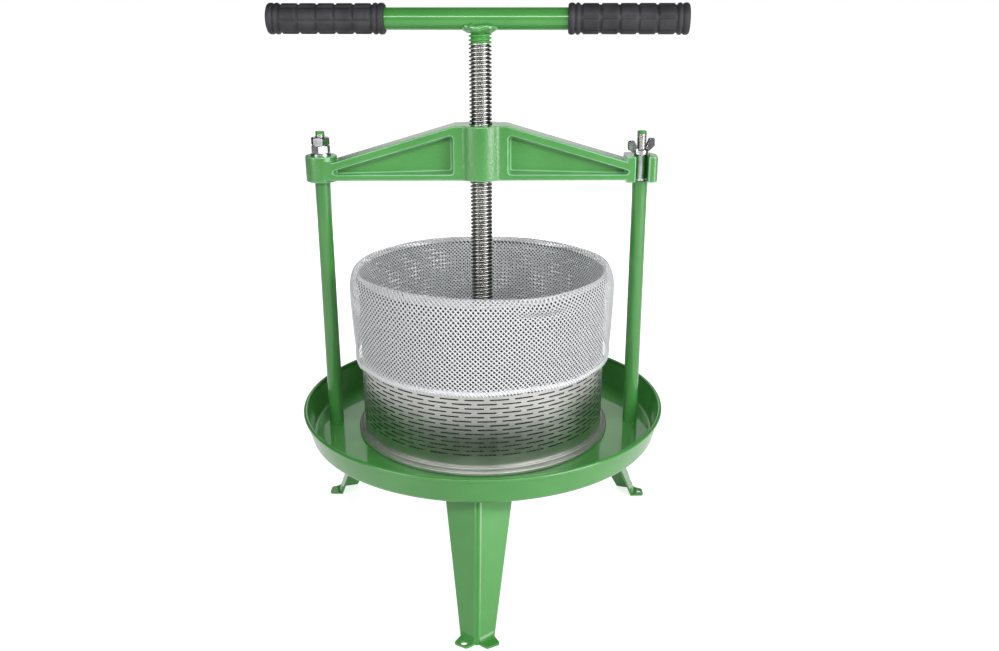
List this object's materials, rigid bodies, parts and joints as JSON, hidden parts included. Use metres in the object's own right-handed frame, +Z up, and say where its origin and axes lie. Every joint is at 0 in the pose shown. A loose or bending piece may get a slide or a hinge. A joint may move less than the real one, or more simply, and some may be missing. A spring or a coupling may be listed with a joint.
{
  "type": "fruit press",
  "caption": "Bench fruit press: T-handle screw in a swing-away cross beam on two posts, slotted basket with net bag, flared juice tray on three folded legs.",
  "frame": {"origin": "centre of the circle of foot bolt holes, on the ground under the feet", "axes": "+Z up along the screw's axis; +X along the line of posts, from the pivot post on the left to the wing nut on the right; +Y to the back, where the juice outlet is, so the front leg stands near -Y"},
  "size_m": [0.4218, 0.452, 0.597],
  "materials": {
    "green_paint": "glossy hammered green paint",
    "green_casting": "glossy green paint over a cast surface",
    "zinc": "bright zinc plating",
    "screw_steel": "turned bright steel",
    "stainless": "rolled stainless sheet",
    "grip_rubber": "matt black moulded rubber",
    "bag_net": "open white polyester net"
  },
  "bodies": {
    "frame": {"tray": "green_paint", "juice_outlet": "green_paint", "leg_front": "green_paint", "leg_rear_left": "green_paint", "leg_rear_right": "green_paint", "post_left": "green_paint", "post_right": "green_paint", "post_foot_washers": "zinc", "post_foot_nuts": "zinc", "pivot_washer": "zinc", "pivot_nut": "zinc", "pivot_locknut": "zinc", "basket_shell": "stainless", "basket_base_ring": "stainless", "basket_top_bead": "stainless", "filter_bag": "bag_net", "press_plate": "stainless", "plate_disc": "stainless"},
    "beam": {"cross_beam": "green_casting"},
    "screw_foot": {"swivel_foot": "screw_steel", "foot_pins": "screw_steel"},
    "screw": {"press_screw": "screw_steel", "handle_weld": "green_paint", "handle_bar": "green_paint", "grip_left": "grip_rubber", "grip_right": "grip_rubber"},
    "wing_nut": {"wing_nut": "zinc"}
  },
  "joints": [
    {"name": "beam_swing", "type": "hinge", "parent": "frame", "child": "beam", "pos_m": [-0.1665, 0, 0.4325], "axis": [0, 0, 1], "range_deg": [0, 38]},
    {"name": "screw_travel", "type": "slide", "parent": "beam", "child": "screw_foot", "axis": [0, 0, 1], "range_m": [-0.0891, 0.1551]},
    {"name": "screw_turn", "type": "hinge", "parent": "screw_foot", "child": "screw", "pos_m": [0, 0, 0.4], "axis": [0, 0, 1], "range_deg": [-8010, 13950]},
    {"name": "wing_nut_turn", "type": "hinge", "parent": "frame", "child": "wing_nut", "pos_m": [0.1665, 0, 0.4535], "axis": [0, 0, 1], "continuous": true}
  ],
  "couplings": [
    {"joint": "screw_travel", "follows": "screw_turn", "m_per_rad": 0.00063662}
  ]
}
